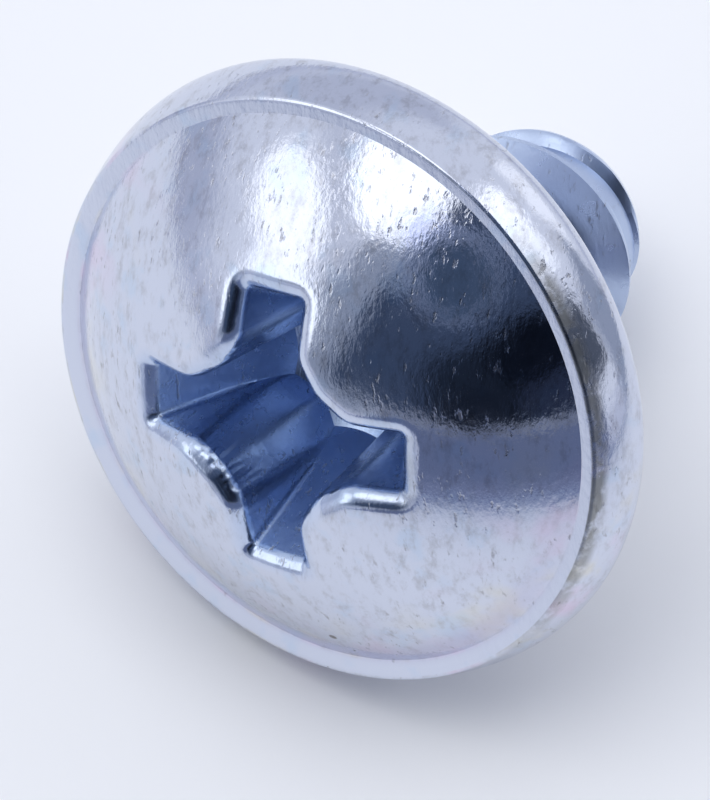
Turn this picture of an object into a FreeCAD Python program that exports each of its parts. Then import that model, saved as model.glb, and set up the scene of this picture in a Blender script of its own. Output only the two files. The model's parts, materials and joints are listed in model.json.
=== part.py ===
import FreeCAD, Part
import math
import os

# A short tapping screw with a flat end, a wide collar and a domed head with a cross recess.
# It is one forged and thread-rolled piece of steel. It is drawn upright first, with its axis on Z,
# the collar's bearing face at z = 0, the head above and the shank below, and then laid down as it
# comes to rest on a table: on the collar's rim and on the tip.
# All sizes are in millimetres and all angles in degrees.

# Collar: a round lower corner, and a side that draws in to a rim with a small round
COLLAR_R = 5.0
COLLAR_THICKNESS = 1.13
COLLAR_CORNER_R = 0.33
RIM_DRAW_IN = 0.24
RIM_ROUND = 0.08

# Domed head, and the narrow flat ledge between the rim and the dome's foot
LEDGE_WIDTH = 0.30
DOME_HEIGHT = 1.80

# Cross recess: four wings with slanting ends, and a lobe of two shallow facets between each pair.
# The walls' sizes hold at the level of the mouth, and every wall leans inward below it.
RECESS_WINGS = 4
WING_REACH = 2.25
WING_HALF_WIDTH = 0.49
LOBE_START = 1.33
LOBE_APEX_R = 1.18
LOBE_APEX_ROUND = 0.60
LOBE_SHOULDER_ROUND = 0.60
RECESS_MOUTH_LEVEL = 1.33
RECESS_DEPTH = 2.34
RECESS_WALL_DRAFT = 5.0
RECESS_END_SLANT = 26.5
RECESS_FLOOR_SLOPE = 28.0
RECESS_RIM_ROLL = 0.28
RECESS_TURN = 20.9

# Shank: a plain core, with a fillet that ends just outside the thread's crest
SHANK_LENGTH = 6.0
CORE_R = 1.53
CORE_ROOT = 0.31
NECK_CLEARANCE = 0.05
TIP_CHAMFER = 0.08

# Thread: one right-handed ridge that rises at the tip and runs out under the neck
THREAD_R = 2.10
THREAD_PITCH = 1.40
THREAD_FLANK_ANGLE = 60.0
THREAD_CREST_LAND = 0.10
THREAD_ROOT_SINK = 0.12
THREAD_NECK = 0.75
THREAD_RUNOUT = 0.50
THREAD_TIP_R = 1.50
THREAD_LEAD_R = 1.72
THREAD_LEAD = 0.30
THREAD_TAPER = 1.35
THREAD_TURN = -29.0

AXIS = FreeCAD.Vector(0, 0, 1)
ACROSS = FreeCAD.Vector(0, 1, 0)
ORIGIN = FreeCAD.Vector(0, 0, 0)
FULL_TURN = 360.0
QUARTER_TURN = FULL_TURN / 4
DIAGONAL = FULL_TURN / 8
UP, INWARD, DOWN = 90.0, 180.0, 270.0
CLEAR_OF_HEAD = 1.0
NEAR = 0.001


def flat_point(radius, height):
    """A point of a profile: its distance from the axis and its height."""
    return FreeCAD.Vector(radius, 0, height)


def round_edge(centre_r, centre_height, radius, first, last):
    """An arc of a profile about a centre, between two directions."""
    points = []
    for direction in (first, (first + last) / 2, last):
        angle = math.radians(direction)
        points.append(flat_point(centre_r + radius * math.cos(angle), centre_height + radius * math.sin(angle)))
    return Part.Arc(*points).toShape()


def outline(points):
    """Straight edges through the points, in order, without closing them."""
    return [Part.makeLine(a, b) for a, b in zip(points, points[1:])]


def revolve(edges):
    """Turn a closed profile about the axis into a solid."""
    face = Part.Face(Part.Wire(edges))
    return face.revolve(ORIGIN, AXIS, FULL_TURN)


def dome_foot():
    """Where the dome meets the ledge: its distance from the axis and its height."""
    return COLLAR_R - RIM_DRAW_IN - LEDGE_WIDTH, COLLAR_THICKNESS


def head_blank():
    """The collar and the dome, before the recess is punched."""
    corner = COLLAR_CORNER_R
    foot_r, foot_height = dome_foot()
    dome_r = (foot_r ** 2 + DOME_HEIGHT ** 2) / (2 * DOME_HEIGHT)
    top_height = foot_height + DOME_HEIGHT
    foot_direction = math.degrees(math.acos(foot_r / dome_r))
    side_lean = math.atan(RIM_DRAW_IN / (COLLAR_THICKNESS - corner))
    round_r = COLLAR_R - RIM_DRAW_IN - RIM_ROUND * (1 - math.sin(side_lean)) / math.cos(side_lean)
    round_height = COLLAR_THICKNESS - RIM_ROUND
    side_end = flat_point(round_r + RIM_ROUND * math.cos(side_lean), round_height + RIM_ROUND * math.sin(side_lean))
    edges = [
        Part.makeLine(ORIGIN, flat_point(COLLAR_R - corner, 0)),
        round_edge(COLLAR_R - corner, corner, corner, DOWN, DOWN + QUARTER_TURN),
        Part.makeLine(flat_point(COLLAR_R, corner), side_end),
        round_edge(round_r, round_height, RIM_ROUND, math.degrees(side_lean), UP),
        Part.makeLine(flat_point(round_r, COLLAR_THICKNESS), flat_point(foot_r, foot_height)),
        round_edge(0, top_height - dome_r, dome_r, foot_direction, UP),
        Part.makeLine(flat_point(0, top_height), ORIGIN),
    ]
    return revolve(edges)


def for_each_wing(quarter, height):
    """One quarter's points, repeated round the axis at one height."""
    points = []
    for wing in range(RECESS_WINGS):
        turn = FreeCAD.Rotation(AXIS, RECESS_TURN + wing * FULL_TURN / RECESS_WINGS)
        points += [turn.multVec(FreeCAD.Vector(u, v, height)) for u, v in quarter]
    return points


def wall_inset(height):
    """How far the leaning side walls have moved inward at one height."""
    return (COLLAR_THICKNESS + RECESS_MOUTH_LEVEL - height) * math.tan(math.radians(RECESS_WALL_DRAFT))


def end_reach(height):
    """How far the wings' slanting end walls are from the axis at one height."""
    below_mouth = COLLAR_THICKNESS + RECESS_MOUTH_LEVEL - height
    return WING_REACH - below_mouth * math.tan(math.radians(RECESS_END_SLANT))


def lobe_points(height):
    """The two shoulders beside a wing and the lobe's apex, as u and v, at one height."""
    inset = wall_inset(height)
    apex = LOBE_APEX_R * math.cos(math.radians(DIAGONAL))
    facet = FreeCAD.Vector(apex - WING_HALF_WIDTH, LOBE_START - apex, 0).normalize()
    facet_distance = facet.x * LOBE_START + facet.y * WING_HALF_WIDTH - inset
    half = WING_HALF_WIDTH - inset
    start = (facet_distance - facet.y * half) / facet.x
    apex = facet_distance / (facet.x + facet.y)
    return [(start, -half), (start, half)], [(apex, apex)]


def cross_section(height):
    """The corners of the four-armed cross at one height, with arms that run past the end walls."""
    (low_shoulder, high_shoulder), (apex,) = lobe_points(height)
    arm = WING_REACH + COLLAR_R
    half = WING_HALF_WIDTH - wall_inset(height)
    return for_each_wing([low_shoulder, (arm, -half), (arm, half), high_shoulder, apex], height)


def tapered_prism(low, high):
    """A solid with flat walls between two sections that have the same number of corners."""
    walls = [Part.Face(Part.makePolygon(low[::-1] + low[-1:])), Part.Face(Part.makePolygon(high + high[:1]))]
    for i in range(len(low)):
        j = (i + 1) % len(low)
        walls.append(Part.Face(Part.makePolygon([low[i], low[j], high[j], high[i], low[i]])))
    return Part.Solid(Part.Shell(walls))


def rounded(solid, points, radius):
    """Round the edges of a solid that pass through the given points."""
    corners = [Part.Vertex(point) for point in points]
    edges = [edge for edge in solid.Edges if min(edge.distToShape(corner)[0] for corner in corners) < NEAR]
    return solid.makeFillet(radius, edges)


def recess_tool():
    """What the punch leaves: a tapering cross, cut off by the end walls and by a conical floor."""
    mouth_height = COLLAR_THICKNESS + RECESS_MOUTH_LEVEL
    foot_height = mouth_height - RECESS_DEPTH
    floor_slope = math.tan(math.radians(RECESS_FLOOR_SLOPE))
    floor_height = foot_height - end_reach(foot_height) * floor_slope
    top_height = dome_foot()[1] + DOME_HEIGHT + CLEAR_OF_HEAD
    middle_height = (floor_height + top_height) / 2
    shoulders, apexes = lobe_points(middle_height)
    cross = tapered_prism(cross_section(floor_height), cross_section(top_height))
    cross = rounded(cross, for_each_wing(apexes, middle_height), LOBE_APEX_ROUND)
    cross = rounded(cross, for_each_wing(shoulders, middle_height), LOBE_SHOULDER_ROUND)
    ends = tapered_prism(*(
        for_each_wing([(end_reach(height), -end_reach(height))], height) for height in (floor_height, top_height)))
    floor = revolve(outline([
        flat_point(0, floor_height),
        flat_point(COLLAR_R, floor_height + COLLAR_R * floor_slope),
        flat_point(COLLAR_R, top_height),
        flat_point(0, top_height),
        flat_point(0, floor_height),
    ]))
    return cross.common(ends).common(floor)


def roll_recess_rim(head):
    """Round the edge where the recess breaks through the dome."""
    foot_height = dome_foot()[1]
    rim = []
    for edge in head.Edges:
        faces = head.ancestorsOfType(edge, Part.Face)
        on_dome = [face for face in faces if isinstance(face.Surface, Part.Sphere)]
        if len(faces) == 2 and len(on_dome) == 1 and edge.BoundBox.ZMin > foot_height + NEAR:
            rim.append(edge)
    return head.makeFillet(RECESS_RIM_ROLL, rim)


def shank_core():
    """The plain core, with a fillet under the collar and a small chamfer at the tip."""
    fillet = THREAD_R + NECK_CLEARANCE - CORE_R
    neck = round_edge(CORE_R + fillet, -fillet, fillet, UP, INWARD)
    return revolve([neck] + outline([
        flat_point(CORE_R, -fillet),
        flat_point(CORE_R, TIP_CHAMFER - SHANK_LENGTH),
        flat_point(CORE_R - TIP_CHAMFER, -SHANK_LENGTH),
        flat_point(0, -SHANK_LENGTH),
        flat_point(0, CORE_ROOT),
        flat_point(CORE_R + fillet, CORE_ROOT),
        flat_point(CORE_R + fillet, 0),
    ]))


def thread_rise():
    """How the thread's crest rises from the tip: its height above the tip and its radius."""
    return [(0, THREAD_TIP_R), (THREAD_LEAD, THREAD_LEAD_R), (THREAD_TAPER, THREAD_R)]


def thread_envelope():
    """The shape the thread is rolled within: it rises at the tip and runs out under the neck."""
    points = [flat_point(0, -SHANK_LENGTH)]
    points += [flat_point(radius, height - SHANK_LENGTH) for height, radius in thread_rise()]
    points += [
        flat_point(THREAD_R, -THREAD_NECK - THREAD_RUNOUT),
        flat_point(CORE_R - THREAD_ROOT_SINK, -THREAD_NECK),
        flat_point(0, -THREAD_NECK),
        flat_point(0, -SHANK_LENGTH),
    ]
    return revolve(outline(points))


def thread_ridge():
    """One ridge wound round the core, past both ends of the shank's threaded length."""
    root_r = CORE_R - THREAD_ROOT_SINK
    flank = math.tan(math.radians(THREAD_FLANK_ANGLE / 2))
    half_land = THREAD_CREST_LAND / 2
    half_crest = half_land / 2
    crest_r = THREAD_R + half_crest / flank
    half_root = half_land + (THREAD_R - root_r) * flank
    section = Part.makePolygon([
        flat_point(root_r, -half_root),
        flat_point(crest_r, -half_crest),
        flat_point(crest_r, half_crest),
        flat_point(root_r, half_root),
        flat_point(root_r, -half_root),
    ])
    wound_length = SHANK_LENGTH - THREAD_NECK + 2 * THREAD_PITCH
    helix = Part.makeLongHelix(THREAD_PITCH, wound_length, root_r)
    ridge = Part.Wire(helix.Edges).makePipeShell([section], True, True)
    ridge.rotate(ORIGIN, AXIS, THREAD_TURN)
    ridge.translate(AXIS * (-SHANK_LENGTH - THREAD_PITCH))
    return ridge


def upright_screw():
    """The whole screw as one solid, upright."""
    blank = head_blank().fuse(shank_core()).removeSplitter()
    head = roll_recess_rim(blank.cut(recess_tool()).Solids[0])
    thread = thread_ridge().common(thread_envelope()).removeSplitter()
    return head.fuse(thread).Solids[0]


def crest_radius(height_above_tip):
    """The thread's crest radius at a height above the tip."""
    radius = THREAD_R
    rise = thread_rise()
    for (low, low_r), (high, high_r) in zip(rise, rise[1:]):
        if low <= height_above_tip < high:
            radius = low_r + (high_r - low_r) * (height_above_tip - low) / (high - low)
    return radius


def rest_tilt():
    """The angle between the screw's axis and the table, at which the shank's first point lands."""
    landings = [(CORE_R - TIP_CHAMFER, 0), (CORE_R, TIP_CHAMFER)]
    height = THREAD_PITCH * ((INWARD - THREAD_TURN) % FULL_TURN) / FULL_TURN
    while height < SHANK_LENGTH - THREAD_NECK - THREAD_RUNOUT:
        landings.append((crest_radius(height), height))
        height += THREAD_PITCH
    from_corner = SHANK_LENGTH + COLLAR_CORNER_R
    return min(math.degrees(math.atan((COLLAR_R - radius) / (from_corner - height))) for radius, height in landings)


def laid_down(screw, tilt):
    """Lay the screw with its tip toward +X and stand it on z = 0, centred over the origin."""
    resting = screw.copy()
    resting.rotate(ORIGIN, ACROSS, tilt - QUARTER_TURN)
    box = resting.optimalBoundingBox(False)
    shift = FreeCAD.Vector(-(box.XMin + box.XMax) / 2, -(box.YMin + box.YMax) / 2, -box.ZMin)
    resting.translate(shift)
    return resting, shift


def main():
    os.makedirs("parts", exist_ok=True)
    tilt = rest_tilt()
    screw, shift = laid_down(upright_screw(), tilt)
    screw.exportStep("parts/screw.step")
    box = screw.optimalBoundingBox(False)
    print("solids", len(screw.Solids), "valid", screw.isValid(), "volume", round(screw.Volume, 3))
    print("tilt", round(tilt, 3), "bearing face centre", [round(v, 4) for v in shift])
    print("box", [round(v, 4) for v in (box.XMin, box.YMin, box.ZMin, box.XMax, box.YMax, box.ZMax)])


main()
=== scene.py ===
# %% [markdown]
# # A short collar-head tapping screw
# The real thing is one piece of steel: a press forged its domed head, its wide collar and its cross
# recess, two dies rolled its thread, and a bath gave it a thin bright coat of zinc. This lesson dresses
# that screw in Blender: first its surface as one clean mesh, then the zinc, then the table and the light.
# Everything is measured in millimetres, and turned into Blender's metres at the very end.

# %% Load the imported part
import bmesh
import bpy
import json
import math
from mathutils import Matrix, Vector


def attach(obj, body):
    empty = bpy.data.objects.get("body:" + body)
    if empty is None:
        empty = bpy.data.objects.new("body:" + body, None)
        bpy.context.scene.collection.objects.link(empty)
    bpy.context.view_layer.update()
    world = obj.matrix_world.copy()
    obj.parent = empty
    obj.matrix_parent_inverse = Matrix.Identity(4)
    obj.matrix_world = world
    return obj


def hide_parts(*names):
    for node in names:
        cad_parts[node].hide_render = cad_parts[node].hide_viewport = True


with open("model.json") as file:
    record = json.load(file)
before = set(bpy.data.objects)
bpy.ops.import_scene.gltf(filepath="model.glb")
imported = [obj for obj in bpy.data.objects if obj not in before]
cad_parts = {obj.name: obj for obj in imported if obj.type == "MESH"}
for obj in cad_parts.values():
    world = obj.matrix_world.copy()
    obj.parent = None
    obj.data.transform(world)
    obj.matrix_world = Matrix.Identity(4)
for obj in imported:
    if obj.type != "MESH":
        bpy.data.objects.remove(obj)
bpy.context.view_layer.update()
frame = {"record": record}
MM = 0.001
scene = bpy.context.scene

# %% [markdown]
# ## Where the screw lies
# A screw is easiest to model upright, with its axis on Z and the underside of the collar at height 0.
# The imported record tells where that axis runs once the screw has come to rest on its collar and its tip:
# one mount sits on the axis, 3.5 mm below the underside. A matrix built from it lays the finished mesh down.

# %% The upright frame and the resting frame
THREAD_MOUNT_DEPTH = 3.5


def mount(name):
    """One of the record's mounts, by its name."""
    return next(m for m in frame["record"]["mounts"] if m["name"] == name)


def resting_matrix():
    """The matrix that takes an upright point in millimetres to its resting place in metres."""
    thread = mount("tapping_thread")
    toward_head = -Vector(thread["axis"]).normalized()
    across = Vector((0, 1, 0))
    upward = across.cross(toward_head)
    turn = Matrix((upward, across, toward_head)).transposed().to_4x4()
    underside = Vector(thread["pos_m"]) + toward_head * THREAD_MOUNT_DEPTH * MM
    return Matrix.Translation(underside) @ turn @ Matrix.Scale(MM, 4)


RESTING = resting_matrix()
print("middle of the collar's underside in mm", [round(v / MM, 3) for v in RESTING.translation])

# %% [markdown]
# ## The camera
# The photograph was taken from above and from the head's side, close up. A long lens about 60 mm away
# gives the same perspective. The camera has no roll, so a point to aim at, a distance, a compass
# direction and an angle above the table are enough to place it.

# %% Place the camera
AIM = Vector((-2.089, -0.472, 4.828))
CAMERA_DISTANCE = 59.84
LOOK_AZIMUTH = 52.27
LOOK_DOWN = 63.17
LENS = 180.0
SENSOR = 36.0


def direction(azimuth, elevation):
    """A unit vector: azimuth 0 is +Y and 90 is +X, and elevation is measured up from the table."""
    a, e = math.radians(azimuth), math.radians(elevation)
    return Vector((math.sin(a) * math.cos(e), math.cos(a) * math.cos(e), math.sin(e)))


def add_camera():
    """A camera that looks at the aim point."""
    look = direction(LOOK_AZIMUTH, -LOOK_DOWN)
    camera = bpy.data.objects.new("camera", bpy.data.cameras.new("camera"))
    scene.collection.objects.link(camera)
    camera.location = (AIM - look * CAMERA_DISTANCE) * MM
    camera.rotation_mode = "QUATERNION"
    camera.rotation_quaternion = look.to_track_quat("-Z", "Y")
    camera.data.lens = LENS
    camera.data.sensor_width = SENSOR
    camera.data.clip_start = CAMERA_DISTANCE * MM / 10
    scene.camera = camera
    return camera


camera = add_camera()
print("camera in mm", [round(v / MM, 2) for v in camera.location])

# %% [markdown]
# ## One mesh made of rings
# The whole screw could be cut from simple solids with booleans, but booleans leave long thin faces that
# spoil the reflections in a bright metal. Instead the surface is laid out as rings round the axis, one
# after another, and every ring has the same number of points, so neighbouring rings join with neat
# four-sided faces. The mesh starts in the middle of the recess's floor and ends in the middle of the tip.

# %% A surface that grows ring by ring
END_POINTS = 7
CORNER_POINTS = 7
SIDE_POINTS = 12
SHOULDER_POINTS = 9
FACET_POINTS = 4
APEX_POINTS = 7
POINTS_PER_EIGHTH = END_POINTS + CORNER_POINTS + SIDE_POINTS + SHOULDER_POINTS + FACET_POINTS + APEX_POINTS
RING_POINTS = 8 * POINTS_PER_EIGHTH


class Surface:
    """Points and faces of the upright screw, with one number per point for each kind of finish."""

    def __init__(self):
        self.points = []
        self.faces = []
        self.finish = {"recess": [], "edge": [], "shank": [], "ledge": [], "drag": []}

    def point(self, place, **finish):
        """Add one point and return its number."""
        self.points.append(Vector(place))
        for name, values in self.finish.items():
            values.append(finish.get(name, 0.0))
        return len(self.points) - 1

    def ring(self, places, **finish):
        """Add a ring of points and return their numbers."""
        return [self.point(place, **finish) for place in places]

    def face(self, corners):
        """Add a face, without the corners that fall together."""
        kept = [c for i, c in enumerate(corners) if c != corners[i - 1]]
        if len(kept) > 2:
            self.faces.append(kept)

    def join(self, inner, outer):
        """Join two rings with one face per step round the axis."""
        for i in range(len(inner)):
            j = (i + 1) % len(inner)
            self.face([inner[i], outer[i], outer[j], inner[j]])

    def close(self, centre, ring, flip=False):
        """Close a ring with a fan of triangles round one point."""
        for i in range(len(ring)):
            j = (i + 1) % len(ring)
            self.face([centre, ring[j], ring[i]] if flip else [centre, ring[i], ring[j]])


surface = Surface()
print("points in each ring", RING_POINTS)

# %% [markdown]
# ## The outline of the cross recess
# Seen along the axis, the recess is a cross of four wings. Between two wings the steel comes inward as a
# blunt lobe with two flat facets. One eighth of that outline holds every feature: half a wing's end, its
# small inner corner, its side, the rounded shoulder, one facet and half of the rounded apex. Mirroring and
# turning the eighth gives the rest. All walls lean, so the same function gives the outline at any height.

# %% Sizes of the recess
COLLAR_THICKNESS = 1.13
RECESS_TURN = 20.9
WING_REACH = 2.25
WING_HALF_WIDTH = 0.49
WING_CORNER = 0.09
LOBE_START = 1.33
LOBE_APEX_R = 1.18
LOBE_APEX_ROUND = 0.60
LOBE_SHOULDER_ROUND = 0.60
MOUTH_HEIGHT = COLLAR_THICKNESS + 1.33
RECESS_DEPTH = 2.34
WALL_DRAFT = math.radians(5.0)
END_SLANT = math.radians(26.5)
FLOOR_SLOPE = math.radians(28.0)
QUARTER = math.radians(90.0)
DIAGONAL = QUARTER / 2


def line(start, end, count):
    """Points along a straight line, without the last one."""
    return [start.lerp(end, i / count) for i in range(count)]


def arc(centre, radius, first, last, count):
    """Points along an arc in the plane, without the last one. Angles are in radians."""
    points = []
    for i in range(count):
        angle = first + (last - first) * i / count
        points.append(centre + Vector((math.cos(angle), math.sin(angle))) * radius)
    return points


def cross_wall(height):
    """Half a wing's width at one height, and the points of the shoulder, the facet and half the apex."""
    below = MOUTH_HEIGHT - height
    half = WING_HALF_WIDTH - below * math.tan(WALL_DRAFT)
    apex = LOBE_APEX_R * math.cos(DIAGONAL)
    along = Vector((LOBE_START - apex, WING_HALF_WIDTH - apex)).normalized()
    into_steel = Vector((-along.y, along.x))
    facet_distance = into_steel.dot(Vector((apex, apex))) - below * math.tan(WALL_DRAFT)
    facet_angle = math.atan2(into_steel.y, into_steel.x)
    shoulder_y = half + LOBE_SHOULDER_ROUND
    shoulder_x = (facet_distance + LOBE_SHOULDER_ROUND - into_steel.y * shoulder_y) / into_steel.x
    shoulder = Vector((shoulder_x, shoulder_y))
    middle = (facet_distance + LOBE_APEX_ROUND) / (into_steel.x + into_steel.y)
    middle = Vector((middle, middle))
    facet_start = shoulder - into_steel * LOBE_SHOULDER_ROUND
    facet_end = middle - into_steel * LOBE_APEX_ROUND
    wall = arc(shoulder, LOBE_SHOULDER_ROUND, -QUARTER, facet_angle - 2 * QUARTER, SHOULDER_POINTS)
    wall += line(facet_start, facet_end, FACET_POINTS)
    wall += arc(middle, LOBE_APEX_ROUND, facet_angle - 2 * QUARTER, DIAGONAL - 2 * QUARTER, APEX_POINTS)
    wall.append(Vector((1, 1)).normalized() * (middle.length - LOBE_APEX_ROUND))
    return half, wall


def cut_off(wall, reach):
    """Hold back the points of the cross that lie past a wing's end wall, at the corner of the two."""
    if wall[0].x <= reach:
        return wall
    kept = list(wall)
    for before, after in zip(wall, wall[1:]):
        if before.x > reach >= after.x:
            corner = before.lerp(after, (before.x - reach) / (before.x - after.x))
    for i, place in enumerate(wall):
        if place.x > reach:
            kept[i] = corner
    return kept


def eighth_outline(height):
    """The outline from the middle of a wing's end to the apex of the next lobe, at one height."""
    half, wall = cross_wall(height)
    reach = WING_REACH - (MOUTH_HEIGHT - height) * math.tan(END_SLANT)
    wall = cut_off(wall, reach)
    room = min(max(reach - wall[0].x, 0.0), WING_CORNER)
    corner = Vector((reach - room, wall[0].y - room))
    outline = line(Vector((reach, 0)), Vector((reach, corner.y)), END_POINTS)
    outline += arc(corner, room, 0, QUARTER, CORNER_POINTS)
    outline += line(Vector((corner.x, wall[0].y)), wall[0], SIDE_POINTS)
    return outline + wall


def whole_ring(eighth):
    """Mirror and turn one eighth's points, given as u, v and height, into a ring."""
    mirrored = [Vector((p.y, p.x, p.z)) for p in eighth[:0:-1]]
    ring = []
    for wing in range(4):
        turn = Matrix.Rotation(math.radians(RECESS_TURN) + wing * QUARTER, 3, "Z")
        ring += [turn @ p for p in eighth[:-1] + mirrored]
    return ring


print("points in one eighth of the outline", len(eighth_outline(MOUTH_HEIGHT)))

# %% [markdown]
# ## The rolled rim of the recess
# The punch that formed the recess dragged the dome's skin down with it, so its rim isn't sharp: it rolls
# over with a radius of about a quarter of a millimetre, and that narrow roll holds the brightest and darkest
# reflections of the whole head. Each wall line is straight, so the roll can be worked out exactly: a ball
# inside the steel touches both the wall and the dome, and its centre is where the wall, moved inward by
# the ball's radius, meets a smaller dome.

# %% The dome and the roll
COLLAR_R = 5.0
RIM_DRAW_IN = 0.24
LEDGE_WIDTH = 0.30
DOME_HEIGHT = 1.80
RIM_ROLL = 0.28
PROBE = 0.1
FLOOR_TRIES = 12
DOME_FOOT_R = COLLAR_R - RIM_DRAW_IN - LEDGE_WIDTH
DOME_FOOT_HEIGHT = COLLAR_THICKNESS
DOME_R = (DOME_FOOT_R ** 2 + DOME_HEIGHT ** 2) / (2 * DOME_HEIGHT)
DOME_CENTRE = Vector((0, 0, DOME_FOOT_HEIGHT + DOME_HEIGHT - DOME_R))


def wall_point(index, height):
    """One point of the outline at one height."""
    place = eighth_outline(height)[index]
    return Vector((place.x, place.y, height))


def wall_normal(index):
    """The direction straight into the steel, near the mouth."""
    outline = eighth_outline(MOUTH_HEIGHT)
    before = outline[index - 1] if index else Vector((outline[1].x, -outline[1].y))
    after = outline[index + 1] if index < POINTS_PER_EIGHTH else Vector((outline[-2].y, outline[-2].x))
    run = (after - before).to_3d()
    lean = wall_point(index, MOUTH_HEIGHT + PROBE) - wall_point(index, MOUTH_HEIGHT - PROBE)
    return run.cross(lean).normalized()


def meet_dome(index):
    """Where the rolled rim begins on the wall and ends on the dome, and the middle of its round."""
    normal = wall_normal(index)
    start = wall_point(index, MOUTH_HEIGHT)
    lean = wall_point(index, MOUTH_HEIGHT + 1.0) - start
    from_centre = start + normal * RIM_ROLL - DOME_CENTRE
    a = lean.length_squared
    b = from_centre.dot(lean)
    c = from_centre.length_squared - (DOME_R - RIM_ROLL) ** 2
    wall = start + lean * (math.sqrt(b * b - a * c) - b) / a
    ball = wall + normal * RIM_ROLL
    dome = DOME_CENTRE + (ball - DOME_CENTRE) * DOME_R / (DOME_R - RIM_ROLL)
    return wall, dome, ball


def meet_floor(index):
    """The height at which a leaning wall meets the conical floor, found step by step."""
    height = FLOOR_HEIGHT
    for _ in range(FLOOR_TRIES):
        place = wall_point(index, height)
        height = FLOOR_HEIGHT + math.hypot(place.x, place.y) * math.tan(FLOOR_SLOPE)
    return height


FLOOR_REACH = WING_REACH - RECESS_DEPTH * math.tan(END_SLANT)
FLOOR_HEIGHT = MOUTH_HEIGHT - RECESS_DEPTH - FLOOR_REACH * math.tan(FLOOR_SLOPE)
ROLL = [meet_dome(i) for i in range(POINTS_PER_EIGHTH + 1)]
FLOOR_EDGE = [meet_floor(i) for i in range(POINTS_PER_EIGHTH + 1)]
print("roll starts", round(min(wall.z for wall, _, _ in ROLL), 2), "to",
      round(max(wall.z for wall, _, _ in ROLL), 2), "mm above the bearing face")

# %% [markdown]
# ## Laying the recess
# The floor is a shallow cone of rings that grow from one middle point. The walls rise from its edge to the
# start of the roll, closer together near the top, where the reflections change fastest. The roll itself
# takes nine steps of an arc.

# %% Floor, walls and roll
FLOOR_RINGS = 10
WALL_RINGS = 18
ROLL_RINGS = 9


def lay_recess():
    """Lay the floor, the walls and the rolled rim, and return the last ring, which lies on the dome."""
    middle = surface.point((0, 0, FLOOR_HEIGHT), recess=1)
    last = None
    for step in range(1, FLOOR_RINGS + 1):
        edge = [wall_point(i, height) for i, height in enumerate(FLOOR_EDGE)]
        eighth = [Vector((0, 0, FLOOR_HEIGHT)).lerp(place, step / FLOOR_RINGS) for place in edge]
        ring = surface.ring(whole_ring(eighth), recess=1)
        if last:
            surface.join(last, ring)
        else:
            surface.close(middle, ring)
        last = ring
    for step in range(1, WALL_RINGS + 1):
        part = math.sin(QUARTER * step / WALL_RINGS)
        heights = [low + (wall.z - low) * part for low, (wall, _, _) in zip(FLOOR_EDGE, ROLL)]
        eighth = [wall_point(i, height) for i, height in enumerate(heights)]
        ring = surface.ring(whole_ring(eighth), recess=1)
        surface.join(last, ring)
        last = ring
    for step in range(1, ROLL_RINGS + 1):
        part = step / ROLL_RINGS
        eighth = []
        for wall, dome, ball in ROLL:
            towards = (wall - ball).normalized().slerp((dome - ball).normalized(), part)
            eighth.append(ball + towards * RIM_ROLL)
        ring = surface.ring(whole_ring(eighth), recess=1 - part, edge=math.sin(math.pi * part) ** 2)
        surface.join(last, ring)
        last = ring
    return last


recess_rim = lay_recess()
print("points so far", len(surface.points))

# %% [markdown]
# ## Drag marks
# The punch dragged steel down the recess's walls and tore it. The marks are strongest on one lobe, weaker on
# its two neighbours, and they fade with depth. They are far too fine for the mesh, so every point only keeps
# how strongly it is marked, and the material makes the furrows later.

# %% Where the walls are torn
# angle of a lobe in degrees, and the strength of its marks
DRAG_LOBES = ((155.9, 1.0), (65.9, 0.45), (245.9, 0.5))
DRAG_SPREAD = 34.0
DRAG_DEPTH = 0.75
DRAG_GAIN = 1.6


def drag_share(place):
    """How strongly one point of the recess is marked: most on one lobe's wall, and less with depth."""
    around = math.degrees(math.atan2(place.y, place.x))
    share = 0.0
    for lobe, strength in DRAG_LOBES:
        aside = abs(math.remainder(around - lobe, 360.0)) / DRAG_SPREAD
        share = max(share, strength * max(1 - aside, 0.0))
    depth = (MOUTH_HEIGHT - place.z) / DRAG_DEPTH
    return min(DRAG_GAIN * share, 1.0) * max(1 - max(depth, 0.0), 0.0)


for number, place in enumerate(surface.points):
    on_wall = max(2 * surface.finish["recess"][number] - 1, 0.0)
    surface.finish["drag"][number] = drag_share(place) * on_wall
print("deepest drag marks", DRAG_DEPTH, "mm below the mouth")

# %% [markdown]
# ## The dome
# The rim of the recess is a cross, and the dome's foot is a circle. Rings between them change slowly from
# the one to the other, and each of their points is put exactly on the dome's sphere, so the change never
# shows in a reflection.

# %% Rings over the dome
DOME_RINGS = 30


def lay_dome(last):
    """Lay the dome from the rim of the recess to its foot."""
    rim = [surface.points[i] for i in last]
    for step in range(1, DOME_RINGS + 1):
        part = step / DOME_RINGS
        # a soft start and a soft end
        ease = part * part * (3 - 2 * part)
        places = []
        for i, place in enumerate(rim):
            even = math.radians(RECESS_TURN) + math.tau * i / RING_POINTS
            angle = math.atan2(place.y, place.x)
            angle = even + math.remainder(angle - even, math.tau) * (1 - ease)
            radius = math.hypot(place.x, place.y) * (1 - part) + DOME_FOOT_R * part
            height = DOME_CENTRE.z + math.sqrt(DOME_R ** 2 - radius ** 2)
            places.append((radius * math.cos(angle), radius * math.sin(angle), height))
        ring = surface.ring(places)
        surface.join(last, ring)
        last = ring
    return last


dome_foot = lay_dome(recess_rim)
print("points so far", len(surface.points))

# %% [markdown]
# ## The collar
# Round the dome runs a narrow flat ledge that ends in a small round rim. Then the collar's side swells
# softly outward and rolls under to the flat bearing face. It is almost a turned shape, so one profile of
# radius and height is enough, and every point of it becomes a ring. Almost, because the press left the rim
# a tenth of a millimetre off centre: the ledge is wider on one side, so the rings there move a little too.

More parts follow.
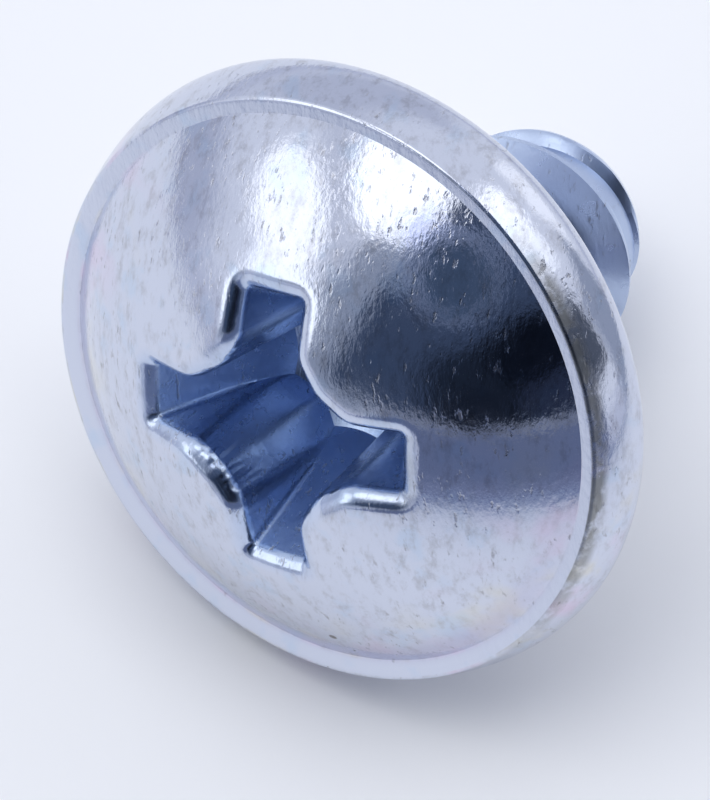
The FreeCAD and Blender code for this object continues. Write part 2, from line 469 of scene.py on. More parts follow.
# %% The collar's profile
RIM_ROUND = 0.08
RIM_SHIFT = 0.107
RIM_SHIFT_ANGLE = math.radians(155.0)
SIDE_SWELL = 0.62
LOWER_CORNER = 0.33
THREAD_R = mount("tapping_thread")["dims"]["r_mm"]
CORE_R = 1.53
NECK_CLEARANCE = 0.05
NECK_ROUND = THREAD_R + NECK_CLEARANCE - CORE_R
SHANK_LENGTH = 6.0
LEDGE_RINGS = 5
RIM_RINGS = 7
SIDE_RINGS = 14
CORNER_RINGS = 8
WEAR_RINGS = 2


def bend(start, control, end, count):
    """Points along a smooth bend that leaves one point and reaches another, without the first one."""
    points = []
    for i in range(1, count + 1):
        t = i / count
        points.append(start.lerp(control, t).lerp(control.lerp(end, t), t))
    return points


def collar_profile():
    """Ledge, rim, side and lower corner, each as points of radius, height and share of the shift."""
    widest = Vector((COLLAR_R, LOWER_CORNER))
    side_lean = math.atan(RIM_DRAW_IN / (COLLAR_THICKNESS - LOWER_CORNER))
    round_r = COLLAR_R - RIM_DRAW_IN - RIM_ROUND * (1 - math.sin(side_lean)) / math.cos(side_lean)
    middle = Vector((round_r, COLLAR_THICKNESS - RIM_ROUND))
    swell = Vector((COLLAR_R, SIDE_SWELL))
    towards = swell - middle
    leave = math.atan2(towards.y, towards.x) + math.acos(RIM_ROUND / towards.length)
    ledge = []
    for step in range(1, LEDGE_RINGS + 1):
        part = step / LEDGE_RINGS
        ledge.append((DOME_FOOT_R + (round_r - DOME_FOOT_R) * part, COLLAR_THICKNESS, part))
    rim = []
    for step in range(1, RIM_RINGS + 1):
        angle = QUARTER + (leave - QUARTER) * step / RIM_RINGS
        place = middle + Vector((math.cos(angle), math.sin(angle))) * RIM_ROUND
        rim.append((place.x, place.y, 1.0))
    side = []
    for step, place in enumerate(bend(place, swell, widest, SIDE_RINGS), 1):
        side.append((place.x, place.y, (1 - step / SIDE_RINGS) ** 2))
    corner = []
    for step in range(1, CORNER_RINGS + 1):
        angle = QUARTER * step / CORNER_RINGS
        place = widest + Vector((math.cos(angle) - 1, -math.sin(angle))) * LOWER_CORNER
        corner.append((place.x, place.y, 0.0))
    return ledge, rim, side, corner


def turned_ring(radius, height, shift=0.0, **finish):
    """A ring of evenly spaced points, with its middle moved by a share of the rim's shift."""
    off_x = RIM_SHIFT * shift * math.cos(RIM_SHIFT_ANGLE)
    off_y = RIM_SHIFT * shift * math.sin(RIM_SHIFT_ANGLE)
    places = []
    for i in range(RING_POINTS):
        angle = math.radians(RECESS_TURN) + math.tau * i / RING_POINTS
        places.append((radius * math.cos(angle) + off_x, radius * math.sin(angle) + off_y, height))
    return surface.ring(places, **finish)


def lay_collar(last):
    """Lay the collar and return its last ring, on the bearing face."""
    ledge, rim, side, corner = collar_profile()
    for name, profile in (("ledge", ledge), ("rim", rim), ("side", side), ("corner", corner)):
        for step, (radius, height, shift) in enumerate(profile):
            edge = 1.0 if name == "rim" else 0.0
            if name == "side":
                edge = max(1 - step / WEAR_RINGS, 0.0)
            on_ledge = 1.0 if name == "ledge" else 0.0
            ring = turned_ring(radius, height, shift, edge=edge, ledge=on_ledge)
            surface.join(last, ring)
            last = ring
    return last


collar_edge = lay_collar(dome_foot)
print("points so far", len(surface.points))

# %% [markdown]
# ## The neck and the thread
# Under the collar the steel runs in with a round neck. The thread is a ridge that climbs round the core,
# and its crest must stay sharp, so the faces follow it: every row of the grid is itself a helix. Once round
# the screw, a row has climbed by one pitch and joins the row that started one turn higher. Where the rows
# run out of the threaded length, they are held back at its end, and the points that fall together are
# shared.

# %% Sizes of the thread
THREAD_PITCH = 1.40
THREAD_FLANK = math.radians(30.0)
THREAD_CREST_LAND = 0.10
THREAD_ROOT_ROUND = 0.10
THREAD_NECK = 0.75
THREAD_RUNOUT = 0.50
THREAD_TURN = math.radians(-29.0)
THREAD_RISE = ((0.0, 1.50), (0.30, 1.72), (1.35, THREAD_R))
TIP_CHAMFER = 0.08
CREST_ROWS = (-0.05, -0.025, 0.0, 0.025, 0.05)
FLANK_ROWS = 6
ROOT_ROWS = 4


def crest_radius(height):
    """How far out the crest reaches at one height: it rises at the tip and runs out under the neck."""
    above_tip = height + SHANK_LENGTH
    radius = THREAD_R
    for (low, low_r), (high, high_r) in zip(THREAD_RISE, THREAD_RISE[1:]):
        if low <= above_tip < high:
            radius = low_r + (high_r - low_r) * (above_tip - low) / (high - low)
    runout = (-THREAD_NECK - height) / THREAD_RUNOUT
    return CORE_R + (radius - CORE_R) * min(max(runout, 0.0), 1.0)


def thread_radius(from_crest, height):
    """The radius of the threaded shank, so many millimetres above or below the crest's middle."""
    crest = max(crest_radius(height), CORE_R)
    depth = max(abs(from_crest) - THREAD_CREST_LAND / 2, 0.0) / math.tan(THREAD_FLANK)
    ridge = THREAD_R - depth - CORE_R
    ridge = min(ridge, crest - CORE_R)
    softened = (ridge + math.sqrt(ridge * ridge + THREAD_ROOT_ROUND ** 2)) / 2
    return CORE_R + max(softened - THREAD_ROOT_ROUND / 2, 0.0)


def row_offsets():
    """Where the rows of one turn lie, in millimetres from the crest's middle."""
    foot = (THREAD_R - CORE_R) * math.tan(THREAD_FLANK) + THREAD_CREST_LAND / 2
    edge = THREAD_CREST_LAND / 2
    flank = [edge + (foot - edge) * (i + 1) / FLANK_ROWS for i in range(FLANK_ROWS)]
    root = [foot + (THREAD_PITCH - 2 * foot) * (i + 1) / (ROOT_ROWS + 1) for i in range(ROOT_ROWS)]
    falling = [THREAD_PITCH - value for value in reversed(flank)]
    return list(CREST_ROWS) + flank + root + falling


print("rows in one turn", len(row_offsets()))

# %% [markdown]
# ## Laying the shank
# A flat ring of bearing face comes first, then the round neck, then the threaded grid between two rings that
# hold its ends, and last a small chamfer and the flat tip. Each part starts from the ring before it.

# %% Lay the neck, the thread and the tip
GRID_TOP = -0.70
GRID_LOW = TIP_CHAMFER - SHANK_LENGTH
NECK_RINGS = 9
FACE_RINGS = 5
TIP_RINGS = 4
LOWEST_TURN = -2


def shared_ring(height, **finish):
    """The ring at which the rows of the thread are held back."""
    places = []
    for i in range(RING_POINTS):
        angle = math.radians(RECESS_TURN) + math.tau * i / RING_POINTS
        phase = (angle - THREAD_TURN) / math.tau
        from_crest = math.remainder(height + SHANK_LENGTH - THREAD_PITCH * phase, THREAD_PITCH)
        radius = thread_radius(from_crest, height)
        places.append((radius * math.cos(angle), radius * math.sin(angle), height))
    return surface.ring(places, **finish)


def lay_thread(top, low):
    """Lay the helical rows between the two rings that hold them."""
    offsets = row_offsets()
    turns = math.ceil((SHANK_LENGTH + THREAD_PITCH) / THREAD_PITCH)
    rows = []
    for turn in range(LOWEST_TURN, turns + 1):
        for offset in offsets:
            row = []
            for i in range(RING_POINTS):
                angle = math.radians(RECESS_TURN) + math.tau * i / RING_POINTS
                climb = THREAD_PITCH * (turn + (angle - THREAD_TURN) / math.tau)
                height = climb + offset - SHANK_LENGTH
                if height >= GRID_TOP:
                    row.append(top[i])
                elif height <= GRID_LOW:
                    row.append(low[i])
                else:
                    from_crest = math.remainder(offset, THREAD_PITCH)
                    radius = thread_radius(from_crest, height)
                    worn = max(1 - abs(from_crest) / THREAD_CREST_LAND, 0.0)
                    place = (radius * math.cos(angle), radius * math.sin(angle), height)
                    row.append(surface.point(place, shank=1, edge=worn))
            rows.append(row)
    for k in range(len(rows) - 1):
        for i in range(RING_POINTS):
            here, above = rows[k], rows[k + 1]
            if i + 1 < RING_POINTS:
                surface.face([above[i], here[i], here[i + 1], above[i + 1]])
            elif k + 1 + len(offsets) < len(rows):
                surface.face([above[i], here[i], rows[k + len(offsets)][0], rows[k + 1 + len(offsets)][0]])


def lay_shank(last):
    """Lay the bearing face, the neck, the thread and the flat tip."""
    neck_r = CORE_R + NECK_ROUND
    start_r = COLLAR_R - LOWER_CORNER
    for step in range(1, FACE_RINGS + 1):
        ring = turned_ring(start_r + (neck_r - start_r) * step / FACE_RINGS, 0.0)
        surface.join(last, ring)
        last = ring
    for step in range(1, NECK_RINGS + 1):
        angle = QUARTER * step / NECK_RINGS
        radius = neck_r - NECK_ROUND * math.sin(angle)
        ring = turned_ring(radius, NECK_ROUND * (math.cos(angle) - 1), shank=step / NECK_RINGS)
        surface.join(last, ring)
        last = ring
    top = shared_ring(GRID_TOP, shank=1)
    surface.join(last, top)
    low = shared_ring(GRID_LOW, shank=1)
    lay_thread(top, low)
    last = low
    for step in range(TIP_RINGS):
        radius = (CORE_R - TIP_CHAMFER) * (1 - step / TIP_RINGS)
        ring = turned_ring(radius, -SHANK_LENGTH, shank=1, edge=1 if step == 0 else 0)
        surface.join(last, ring)
        last = ring
    surface.close(surface.point((0, 0, -SHANK_LENGTH), shank=1), last, flip=True)


lay_shank(collar_edge)
print("points", len(surface.points), "faces", len(surface.faces))

# %% [markdown]
# ## From points to a piece
# Now the points become a Blender mesh and lie down with the resting matrix. The finish numbers go along as
# point attributes, which the material can read. Smooth shading blends the small faces into round metal,
# while edges that really are sharp, such as the one between the recess's walls and floor, stay sharp.

# %% Build the screw's mesh
SHARP_ANGLE = math.radians(32.0)
CLOSE = 0.0004


def merge_close_points(mesh):
    """Join the points that fall together, and drop the faces that this leaves without an area."""
    tool = bmesh.new()
    tool.from_mesh(mesh)
    bmesh.ops.remove_doubles(tool, verts=tool.verts, dist=CLOSE * MM)
    bmesh.ops.dissolve_degenerate(tool, edges=tool.edges, dist=CLOSE * MM)
    tool.to_mesh(mesh)
    tool.free()


def build_screw():
    """The finished screw as one object in its resting place."""
    mesh = bpy.data.meshes.new("zinc_screw")
    mesh.from_pydata([RESTING @ point for point in surface.points], [], surface.faces)
    for name, values in surface.finish.items():
        numbers = mesh.attributes.new(name, "FLOAT", "POINT")
        numbers.data.foreach_set("value", values)
    upright = mesh.attributes.new("upright", "FLOAT_VECTOR", "POINT")
    upright.data.foreach_set("vector", [value for point in surface.points for value in point])
    merge_close_points(mesh)
    mesh.shade_smooth()
    mesh.set_sharp_from_angle(angle=SHARP_ANGLE)
    screw = bpy.data.objects.new("zinc_screw", mesh)
    scene.collection.objects.link(screw)
    return screw


screw = build_screw()
print("triangles", sum(len(p.vertices) - 2 for p in screw.data.polygons))

# %% [markdown]
# ## Bright zinc
# Zinc plating is a mirror with a cold, faintly blue tone. What makes it look real is how it is less than
# perfect: the forged skin below is slightly wavy, drawing marks and pits break the reflection, and the thin
# film on it adds weak tints of yellow, pink and blue. Noise textures in millimetres make all of these, as
# bump, roughness and colour. A few helpers come first, so that the recipe for the metal stays readable.

# %% Helpers that add one node


def new_material(name):
    """A material with an empty node tree but for its output."""
    material = bpy.data.materials.new(name)
    material.use_nodes = True
    tree = material.node_tree
    tree.nodes.clear()
    output = tree.nodes.new("ShaderNodeOutputMaterial")
    return material, tree, output


def ramp(tree, source, low, high, soft=True):
    """Stretch the part of a value between two levels to 0..1."""
    made = tree.nodes.new("ShaderNodeMapRange")
    made.interpolation_type = "SMOOTHSTEP" if soft else "LINEAR"
    made.inputs["From Min"].default_value = low
    made.inputs["From Max"].default_value = high
    tree.links.new(source, made.inputs["Value"])
    return made.outputs["Result"]


def math_node(tree, operation, first, second):
    """A math node; each operand is a socket or a number."""
    made = tree.nodes.new("ShaderNodeMath")
    made.operation = operation
    for socket, value in zip(made.inputs, (first, second)):
        if isinstance(value, (int, float)):
            socket.default_value = value
        else:
            tree.links.new(value, socket)
    return made.outputs["Value"]


def times(tree, *values):
    """The product of two or more values."""
    product = values[0]
    for value in values[1:]:
        product = math_node(tree, "MULTIPLY", product, value)
    return product


def mix_colour(tree, factor, first, second):
    """Mix two colours; each is a socket or a tuple."""
    made = tree.nodes.new("ShaderNodeMix")
    made.data_type = "RGBA"
    tree.links.new(factor, made.inputs["Factor"])
    for name, value in (("A", first), ("B", second)):
        socket = next(s for s in made.inputs if s.name == name and s.type == "RGBA")
        if isinstance(value, tuple):
            socket.default_value = (*value, 1.0)
        else:
            tree.links.new(value, socket)
    return next(s for s in made.outputs if s.type == "RGBA")


def attribute(tree, name, output="Fac"):
    """One of the numbers, or the place, that the mesh keeps at each point."""
    made = tree.nodes.new("ShaderNodeAttribute")
    made.attribute_name = name
    return made.outputs[output]


print("helpers for a material, a ramp, a sum or product, a mix and an attribute")

# %% Helpers for places, patterns and bumps


def stretched(tree, place, turn, factors):
    """Turn the upright place about the screw's axis, and then scale it along its new axes."""
    turned = tree.nodes.new("ShaderNodeVectorRotate")
    turned.rotation_type = "Z_AXIS"
    turned.inputs["Angle"].default_value = math.radians(turn)
    tree.links.new(place, turned.inputs["Vector"])
    scaled = tree.nodes.new("ShaderNodeVectorMath")
    scaled.operation = "MULTIPLY"
    scaled.inputs[1].default_value = factors
    tree.links.new(turned.outputs["Vector"], scaled.inputs[0])
    return scaled.outputs["Vector"]


def along_axis(tree, place, axis):
    """How far a place or a direction goes along one axis."""
    made = tree.nodes.new("ShaderNodeVectorMath")
    made.operation = "DOT_PRODUCT"
    made.inputs[1].default_value = axis
    tree.links.new(place, made.inputs[0])
    return made.outputs["Value"]


def noise(tree, vector, scale, detail=2.0, roughness=0.5):
    """A noise texture, as a value round one half. The scale counts features per millimetre."""
    made = tree.nodes.new("ShaderNodeTexNoise")
    made.inputs["Scale"].default_value = scale
    made.inputs["Detail"].default_value = detail
    made.inputs["Roughness"].default_value = roughness
    tree.links.new(vector, made.inputs["Vector"])
    return made.outputs["Fac"]


def bump(tree, height, distance, below=None):
    """A bump of a height in millimetres, laid over another normal if there is one."""
    made = tree.nodes.new("ShaderNodeBump")
    made.inputs["Strength"].default_value = 1.0
    made.inputs["Distance"].default_value = distance * MM
    tree.links.new(height, made.inputs["Height"])
    if below is not None:
        tree.links.new(below, made.inputs["Normal"])
    return made.outputs["Normal"]


def between(tree, value, low, high, soft):
    """1 where a value lies between two levels, with soft ends."""
    above = ramp(tree, value, low - soft / 2, low + soft / 2)
    below = ramp(tree, value, high + soft / 2, high - soft / 2)
    return times(tree, above, below)


def off_ledge(tree):
    """1 everywhere but on the ledge, whose skin is clean."""
    return math_node(tree, "SUBTRACT", 1.0, attribute(tree, "ledge"))


print("helpers for a turned place, a noise, a bump and two masks")

# %% [markdown]
# ### Torn marks, the worn rim with its painted shade, and a pit
# The dies left short torn marks that run with the grain: a few broad ones, and many fine ones in patches.
# Along one side the collar's rim is worn dull in patches, and the same patches paint the dark shade that
# falls on the lip's outer side there. One small dark pit lies near the dome's foot. Each of these is a mask
# from 0 to 1, which the colour, the roughness and the bump share.

# %% Masks for the marks
# a noise is features per millimetre, octaves of detail and their roughness; levels are where a mask is 0
# and where it is 1
GRAIN_TURN = -25.0
SCAR_STRETCH = (0.32, 1.0, 0.6)
BROAD_SCARS = (5.0, 4.0, 0.65)
BROAD_LEVELS = (0.66, 0.76)
FINE_SCARS = (12.0, 3.0, 0.6)
FINE_LEVELS = (0.59, 0.73)
SCAR_PATCHES = (1.1, 2.0)
SCAR_PATCH_LEVELS = (0.38, 0.56)
# the worn rim's patches and side, which also carry painted shade of the lip
WORN_AND_SHADED_PATCHES = (3.4, 4.0, 0.65)
WORN_AND_SHADED_PATCH_LEVELS = (0.28, 0.56)
WORN_AND_SHADED_FROM_Y = (-1.6, -2.9)
WORN_AND_SHADED_FROM_X = (-3.4, 1.2)
WORN_AND_SHADED_FROM_Z = (0.6, 0.7)
SPECK_PLACE = (-3.44, -1.82, 1.61)
SPECK_R = 0.065
SPECK_SOFT = 0.5


def scar_marks(tree, place):
    """Small torn marks that run with the grain: a few broad ones, and many fine ones in patches."""
    along = stretched(tree, place, GRAIN_TURN, SCAR_STRETCH)
    broad = ramp(tree, noise(tree, along, *BROAD_SCARS), *BROAD_LEVELS)
    fine = ramp(tree, noise(tree, along, *FINE_SCARS), *FINE_LEVELS)
    patches = ramp(tree, noise(tree, place, *SCAR_PATCHES), *SCAR_PATCH_LEVELS)
    scars = math_node(tree, "MAXIMUM", broad, times(tree, fine, patches))
    return times(tree, scars, off_ledge(tree))


def worn_and_shaded_rim(tree, place):
    """Where the collar's rim is worn dull and painted with the lip's shade: in patches, on one side."""
    side = ramp(tree, along_axis(tree, place, (0, 1, 0)), *WORN_AND_SHADED_FROM_Y)
    toward_top = ramp(tree, along_axis(tree, place, (1, 0, 0)), *WORN_AND_SHADED_FROM_X)
    on_head = ramp(tree, along_axis(tree, place, (0, 0, 1)), *WORN_AND_SHADED_FROM_Z)
    patches = ramp(tree, noise(tree, place, *WORN_AND_SHADED_PATCHES), *WORN_AND_SHADED_PATCH_LEVELS)
    return times(tree, attribute(tree, "edge"), side, toward_top, patches, on_head)


def speck(tree, place):
    """1 on the one small dark pit near the dome's foot."""
    away = tree.nodes.new("ShaderNodeVectorMath")
    away.operation = "DISTANCE"
    away.inputs[1].default_value = SPECK_PLACE
    tree.links.new(place, away.inputs[0])
    return ramp(tree, away.outputs["Value"], SPECK_R * (1 + SPECK_SOFT / 2), SPECK_R * (1 - SPECK_SOFT / 2))


print("pit of", 2 * SPECK_R, "mm at", SPECK_PLACE)

# %% [markdown]
# ### Tints and stains
# The film on the zinc is thin, and its thickness decides its tint. It makes soft clouds: rose and straw
# near the collar's edge on one side, and blue anywhere. The bath dried on it in small stains. On the lower
# side, a violet band along the dome's foot is painted shade: the dark reflection of the table's shadow under
# the head. The ledge was pressed smooth and stays clean. The plating is bluer in the recess and on the
# shank.
# Each tint is one layer over the plain zinc: a mask, a strength and a colour.

# %% The zinc's colours
ZINC = (0.645, 0.68, 0.785)
ZINC_IN_RECESS = (0.49, 0.60, 0.80)
ZINC_ON_SHANK = (0.52, 0.61, 0.79)
STAINED = (0.43, 0.44, 0.49)
ROSE_TINT = (0.73, 0.59, 0.74)
STRAW_TINT = (0.73, 0.69, 0.57)
BLUE_TINT = (0.56, 0.65, 0.79)
# painted shade: the dark reflection of the table's shadow under the head, painted violet on the dome's foot
FOOT_PAINTED_SHADE = (0.50, 0.47, 0.64)
PIT_COLOUR = (0.30, 0.29, 0.30)
WORN_AND_SHADED_COLOUR = (0.26, 0.26, 0.245)
# the worn rim's colour, also painted shade: the dark shade of the lip's outer side
SPECK_COLOUR = (0.16, 0.15, 0.15)
print("zinc colour", ZINC)

# %% Where each tint lies, and how strong it is
BLUE_STRENGTH = 0.75
STAIN_STRENGTH = 0.75
CLOUD_STRENGTH = 0.7
FOOT_PAINTED_SHADE_STRENGTH = 0.5
SCAR_STRENGTH = 0.6
WORN_AND_SHADED_STRENGTH = 0.85
CLOUDS = (0.9, 3.0)
ROSE_LEVELS = (0.50, 0.69)
STRAW_LEVELS = (0.48, 0.31)
TINT_RADIUS = (3.6, 4.8)
TINT_SIDE = (2.4, 0.8)
BLUE_CLOUDS = (1.6, 4.0)
BLUE_LEVELS = (0.54, 0.70)
STAIN_STRETCH = (0.5, 1.0, 0.9)
STAIN_NOISE = (5.0, 5.0, 0.7)
STAIN_LEVELS = (0.46, 0.74)
# the band and the side of the dome's foot where that painted shade lies
FOOT_BAND = (4.36, 4.62)
FOOT_SOFT = 0.24
FOOT_SIDE = (1.5, -2.5)


def zinc_colour(tree, place, scars, worn):
    """The plated colour with its faint tints, bluer in the recess and darker in the scars, with painted
    shade at the dome's foot and along one side of the rim.
    """
    from_middle = tree.nodes.new("ShaderNodeVectorMath")
    from_middle.operation = "LENGTH"
    tree.links.new(place, from_middle.inputs[0])
    distance = from_middle.outputs["Value"]
    sideways = along_axis(tree, place, (1, 0, 0))
    near_edge = times(tree, ramp(tree, distance, *TINT_RADIUS), ramp(tree, sideways, *TINT_SIDE))
    near_edge = times(tree, near_edge, off_ledge(tree))
    clouds = noise(tree, place, *CLOUDS)
    # foot: painted shade on the lower side of the dome's foot
    foot = times(tree, between(tree, distance, *FOOT_BAND, FOOT_SOFT), ramp(tree, sideways, *FOOT_SIDE))
    drawn = stretched(tree, place, GRAIN_TURN, STAIN_STRETCH)
    stains = times(tree, ramp(tree, noise(tree, drawn, *STAIN_NOISE), *STAIN_LEVELS), off_ledge(tree))
    layers = (
        (ramp(tree, noise(tree, place, *BLUE_CLOUDS), *BLUE_LEVELS), BLUE_STRENGTH, BLUE_TINT),
        (stains, STAIN_STRENGTH, STAINED),
        (times(tree, ramp(tree, clouds, *ROSE_LEVELS), near_edge), CLOUD_STRENGTH, ROSE_TINT),
        (times(tree, ramp(tree, clouds, *STRAW_LEVELS), near_edge), CLOUD_STRENGTH, STRAW_TINT),
        # painted shade at the dome's foot
        (foot, FOOT_PAINTED_SHADE_STRENGTH, FOOT_PAINTED_SHADE),
        (attribute(tree, "recess"), 1.0, ZINC_IN_RECESS),
        (attribute(tree, "shank"), 1.0, ZINC_ON_SHANK),
        (scars, SCAR_STRENGTH, PIT_COLOUR),
        # worn rim: partly real wear and partly painted shade of the lip
        (worn, WORN_AND_SHADED_STRENGTH, WORN_AND_SHADED_COLOUR),
        (speck(tree, place), 1.0, SPECK_COLOUR),
    )
    colour = ZINC
    for mask, strength, tint in layers:
        colour = mix_colour(tree, times(tree, mask, strength), colour, tint)
    return colour


print("dome's foot tinted from", FOOT_BAND[0], "to", FOOT_BAND[1], "mm from the middle of the underside")

# %% [markdown]
# ### Gloss and skin
# A polished patch of zinc has a roughness near 0.07. Haze, torn marks, the recess, the rolled shank and the
# worn rim each add to it. The skin is built from bumps, broad ones first: the wave of the forging, the
# mottle and the grain of the wire, the furrows on the recess's walls, and the torn marks, which go inward.
# All heights are in millimetres, so a bump can be compared with the real thing.

# %% How dull the zinc is
POLISHED = 0.07
HAZE = (2.2, 4.0)
HAZE_LEVELS = (0.35, 0.75)
HAZE_DULLS = 0.07
SCARS_DULL = 0.20
RECESS_DULLS = 0.16
SHANK_DULLS = 0.20
WEAR_DULLS = 0.22


def zinc_roughness(tree, place, scars, worn):
    """The roughness: that of polished zinc, and what each kind of mark adds."""
    haze = ramp(tree, noise(tree, place, *HAZE), *HAZE_LEVELS, soft=False)
    roughness = POLISHED
    for mask, added in (
        (haze, HAZE_DULLS),
        (scars, SCARS_DULL),
        (attribute(tree, "recess"), RECESS_DULLS),
        (attribute(tree, "shank"), SHANK_DULLS),
        (worn, WEAR_DULLS),
    ):
        roughness = math_node(tree, "ADD", roughness, times(tree, mask, added))
    return roughness


print("roughness from", POLISHED, "up")

# %% The skin and the finished zinc
WAVE = (1.3, 1.0)
WAVE_HEIGHT = 0.004
GRAIN_STRETCH = (0.5, 1.0, 0.9)
MOTTLE = (6.0, 2.0)
MOTTLE_HEIGHT = 0.0024
GRAIN = (15.0, 3.0, 0.6)
GRAIN_HEIGHT = 0.0028
FURROW_STRETCH = (1.0, 1.0, 0.12)
FURROWS = (5.5, 1.0)
FURROW_HEIGHT = 0.09
SCAR_HEIGHT = -0.0029


def zinc_skin(tree, place, scars):
    """The bumps of the skin, one laid over the other."""
    drawn = stretched(tree, place, GRAIN_TURN, GRAIN_STRETCH)
    down_walls = stretched(tree, place, 0.0, FURROW_STRETCH)
    furrows = times(tree, noise(tree, down_walls, *FURROWS), attribute(tree, "drag"))
    normal = bump(tree, noise(tree, place, *WAVE), WAVE_HEIGHT)
    normal = bump(tree, noise(tree, drawn, *MOTTLE), MOTTLE_HEIGHT, normal)
    normal = bump(tree, noise(tree, drawn, *GRAIN), GRAIN_HEIGHT, normal)
    normal = bump(tree, furrows, FURROW_HEIGHT, normal)
    return bump(tree, scars, SCAR_HEIGHT, normal)


def zinc_material():
    """Bright zinc with a wavy skin, a fine drawn grain, torn marks and faint tints."""
    material, tree, output = new_material("zinc_plate")
    place = attribute(tree, "upright", "Vector")
    scars = scar_marks(tree, place)
    # worn holds the worn rim's mask, which also paints the lip's shade
    worn = worn_and_shaded_rim(tree, place)
    metal = tree.nodes.new("ShaderNodeBsdfPrincipled")
    metal.inputs["Metallic"].default_value = 1.0
    tree.links.new(zinc_colour(tree, place, scars, worn), metal.inputs["Base Color"])
    tree.links.new(zinc_roughness(tree, place, scars, worn), metal.inputs["Roughness"])
    tree.links.new(zinc_skin(tree, place, scars), metal.inputs["Normal"])
    tree.links.new(metal.outputs["BSDF"], output.inputs["Surface"])
    return material


screw.data.materials.append(zinc_material())
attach(screw, "root")
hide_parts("screw")
print("screw dressed in", screw.data.materials[0].name)

# %% [markdown]
# ## The table
# A mirror shows what stands round it, so the table and the room matter more than the lamp. The screw lies on
# a pale table with a dull, even skin. Away from the screw the table's colour is painted darker on one side:
# it is painted shade for the dark side of the room, and the lower half of the dome mirrors it.

# %% The table
TABLE_SIZE = 400.0
TABLE_COLOUR = (0.893, 0.895, 0.905)
# painted shade: the table's colour far out toward the dark side of the room
TABLE_PAINTED_SHADE_COLOUR = (0.28, 0.33, 0.46)
DARK_SIDE = -130.0
DARK_SIDE_START = 9.0
DARK_SIDE_END = 95.0


def add_table():
    """A pale flat table under the screw, with painted shade that grows darker toward the dark side of the
    room.
    """
    half = TABLE_SIZE * MM / 2
    mesh = bpy.data.meshes.new("table")
    corners = [(-half, -half, 0), (half, -half, 0), (half, half, 0), (-half, half, 0)]
    mesh.from_pydata(corners, [], [(0, 1, 2, 3)])
    table = bpy.data.objects.new("table", mesh)
    scene.collection.objects.link(table)
    material, tree, output = new_material("pale_table")
    surface_node = tree.nodes.new("ShaderNodeBsdfDiffuse")
    place = tree.nodes.new("ShaderNodeTexCoord").outputs["Object"]
    away = along_axis(tree, place, direction(DARK_SIDE, 0.0))
    # painted shade on the table, growing toward the dark side of the room
    far = ramp(tree, away, DARK_SIDE_START * MM, DARK_SIDE_END * MM, soft=False)
    colour = mix_colour(tree, far, TABLE_COLOUR, TABLE_PAINTED_SHADE_COLOUR)
    tree.links.new(colour, surface_node.inputs["Color"])
    tree.links.new(surface_node.outputs["BSDF"], output.inputs["Surface"])
    table.data.materials.append(material)
    return table


add_table()
print("table", TABLE_SIZE, "mm wide")

# %% [markdown]
# ## The lamp
# One large soft lamp stands high above the table and gives the screw its soft shadow. It is hidden from
# mirrors, because the room already holds every bright thing that the metal should show.

# %% The lamp
LAMP_AZIMUTH = 15.0
LAMP_ELEVATION = 76.0
LAMP_DISTANCE = 220.0
LAMP_SIZE = 190.0
LAMP_POWER = 0.192
LAMP_COLOUR = (0.98, 0.99, 1.0)


def add_lamp():
    """A large soft lamp for the table."""
    lamp = bpy.data.objects.new("lamp", bpy.data.lights.new("lamp", "AREA"))
    scene.collection.objects.link(lamp)
    towards = direction(LAMP_AZIMUTH, LAMP_ELEVATION)
    lamp.location = towards * LAMP_DISTANCE * MM
    lamp.rotation_mode = "QUATERNION"
    lamp.rotation_quaternion = (-towards).to_track_quat("-Z", "Y")
    lamp.data.size = LAMP_SIZE * MM
    lamp.data.energy = LAMP_POWER
    lamp.data.color = LAMP_COLOUR
    lamp.visible_glossy = False
    return lamp


add_lamp()
print("lamp of", LAMP_POWER, "watts at", LAMP_DISTANCE, "mm")

# %% [markdown]
# ## The room
# Bright windows stand on one side of the room and high up across from them, the side between is dark, and
# the rest is pale. All of it is painted on the world by direction, as compass azimuth and height in degrees:
# first the wide areas, each laid over the one before, and then the windows and other small things as soft
# ovals. A photograph of a room would do it too, but this one can be changed line by line.

# %% The room's wide areas
ROOM = (0.74, 0.77, 0.86)
ROOM_STRENGTH = 1.1
# azimuth from and to, elevation from and to, softness, colour
AREAS = (
    ((-200, 200), (-90, 9), 10, (0.55, 0.58, 0.70)),
    ((-32, 2), (-4, 15), 14, (0.46, 0.49, 0.61)),
    ((14, 72), (12, 50), 16, (0.54, 0.57, 0.68)),
    ((92, 122), (24, 52), 10, (1.08, 1.10, 1.16)),
    ((126, 160), (-5, 38), 10, (0.32, 0.36, 0.46)),
    ((162, 200), (19, 46), 8, (0.085, 0.10, 0.135)),
    ((-200, -98), (-90, 19), 5, (0.125, 0.155, 0.26)),
    ((-200, -98), (-90, 1), 10, (0.21, 0.24, 0.37)),
    ((-98, -64), (8, 60), 14, (0.28, 0.32, 0.41)),
    ((-200, -82), (19, 95), 6, (0.045, 0.066, 0.118)),
)
print(len(AREAS), "wide areas")

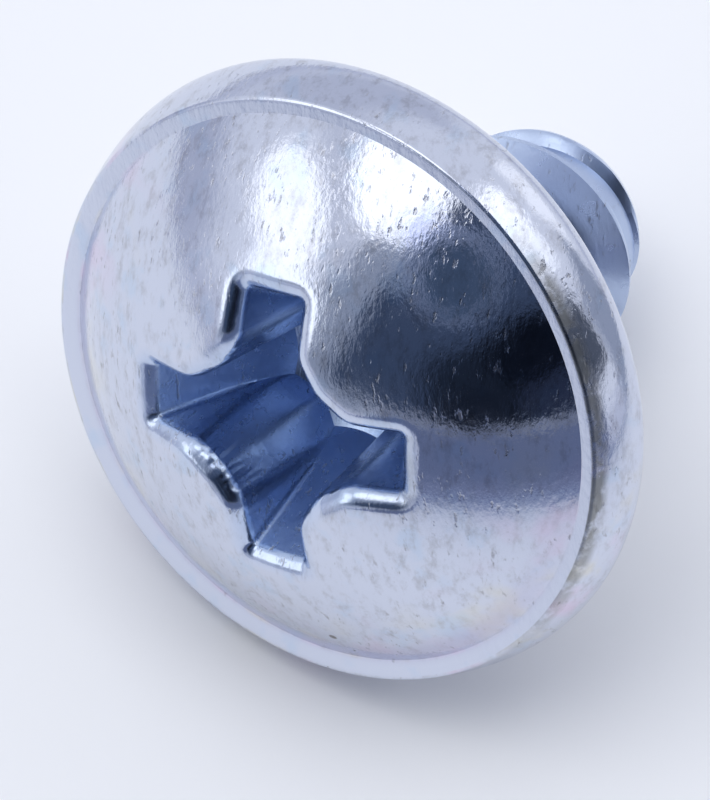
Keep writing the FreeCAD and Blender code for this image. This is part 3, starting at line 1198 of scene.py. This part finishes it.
# %% The room's ovals
# azimuth, elevation, half width and half height in degrees, softness from 0 to 1, colour
OVALS = (
    (-57, 25, 12, 10, 0.7, (1.35, 1.40, 1.48)),
    (-30, 50, 24, 4, 0.8, (0.60, 0.63, 0.73)),
    (-37, 36, 16, 10.5, 0.35, (1.40, 1.42, 1.46)),
    (-40, 67.5, 16, 13.5, 0.25, (1.55, 1.57, 1.61)),
    (140, 69.5, 11, 9, 0.6, (1.45, 1.47, 1.52)),
    (152, 57, 7, 6.5, 0.7, (1.20, 1.23, 1.29)),
    (-93, 67, 11, 5.5, 0.8, (0.85, 0.92, 1.22)),
    (-90, 57, 6, 6, 0.9, (0.24, 0.29, 0.40)),
    (-110, 61, 13, 13, 0.15, (0.19, 0.23, 0.34)),
    (-112, 60, 10.5, 10.5, 0.3, (0.052, 0.080, 0.138)),
    (-132, 33, 21, 11, 0.7, (0.012, 0.018, 0.032)),
    (-147, 40, 15, 11, 0.7, (0.004, 0.006, 0.012)),
    (-126, 25, 13, 6, 0.7, (0.008, 0.012, 0.022)),
    (-150, 27, 10, 6, 0.8, (0.020, 0.028, 0.055)),
)


def oval(tree, place, azimuth, elevation, half_width, half_height, soft):
    """1 inside a soft oval round a direction, 0 outside it and on the far side of the sky."""
    middle = direction(azimuth, elevation)
    across = middle.cross(Vector((0, 0, 1))).normalized()
    upward = across.cross(middle)
    wide = along_axis(tree, place, across / math.sin(math.radians(half_width)))
    high = along_axis(tree, place, upward / math.sin(math.radians(half_height)))
    square = math_node(tree, "ADD", times(tree, wide, wide), times(tree, high, high))
    inside = ramp(tree, math_node(tree, "SQRT", square, 0.0), 1 + soft / 2, 1 - soft / 2)
    near_side = math_node(tree, "GREATER_THAN", along_axis(tree, place, middle), 0.0)
    return times(tree, inside, near_side)


def add_room():
    """The world: a pale room with wide areas and ovals, each given by its directions and its colour."""
    world = bpy.data.worlds.new("room")
    scene.world = world
    world.use_nodes = True
    tree = world.node_tree
    tree.nodes.clear()
    output = tree.nodes.new("ShaderNodeOutputWorld")
    background = tree.nodes.new("ShaderNodeBackground")
    place = tree.nodes.new("ShaderNodeTexCoord").outputs["Generated"]
    parts = tree.nodes.new("ShaderNodeSeparateXYZ")
    tree.links.new(place, parts.inputs["Vector"])
    x, y, z = (parts.outputs[name] for name in "XYZ")
    azimuth = times(tree, math_node(tree, "ARCTAN2", x, y), math.degrees(1.0))
    elevation = times(tree, math_node(tree, "ARCSINE", z, 0.0), math.degrees(1.0))
    colour = ROOM
    for across, upward, soft, tone in AREAS:
        mask = times(tree, between(tree, azimuth, *across, soft), between(tree, elevation, *upward, soft))
        colour = mix_colour(tree, mask, colour, tone)
    for *shape, tone in OVALS:
        colour = mix_colour(tree, oval(tree, place, *shape), colour, tone)
    tree.links.new(colour, background.inputs["Color"])
    background.inputs["Strength"].default_value = ROOM_STRENGTH
    tree.links.new(background.outputs["Background"], output.inputs["Surface"])
    return world


add_room()
scene.view_settings.view_transform = "Standard"
print("room with", len(AREAS), "wide areas and", len(OVALS), "ovals")
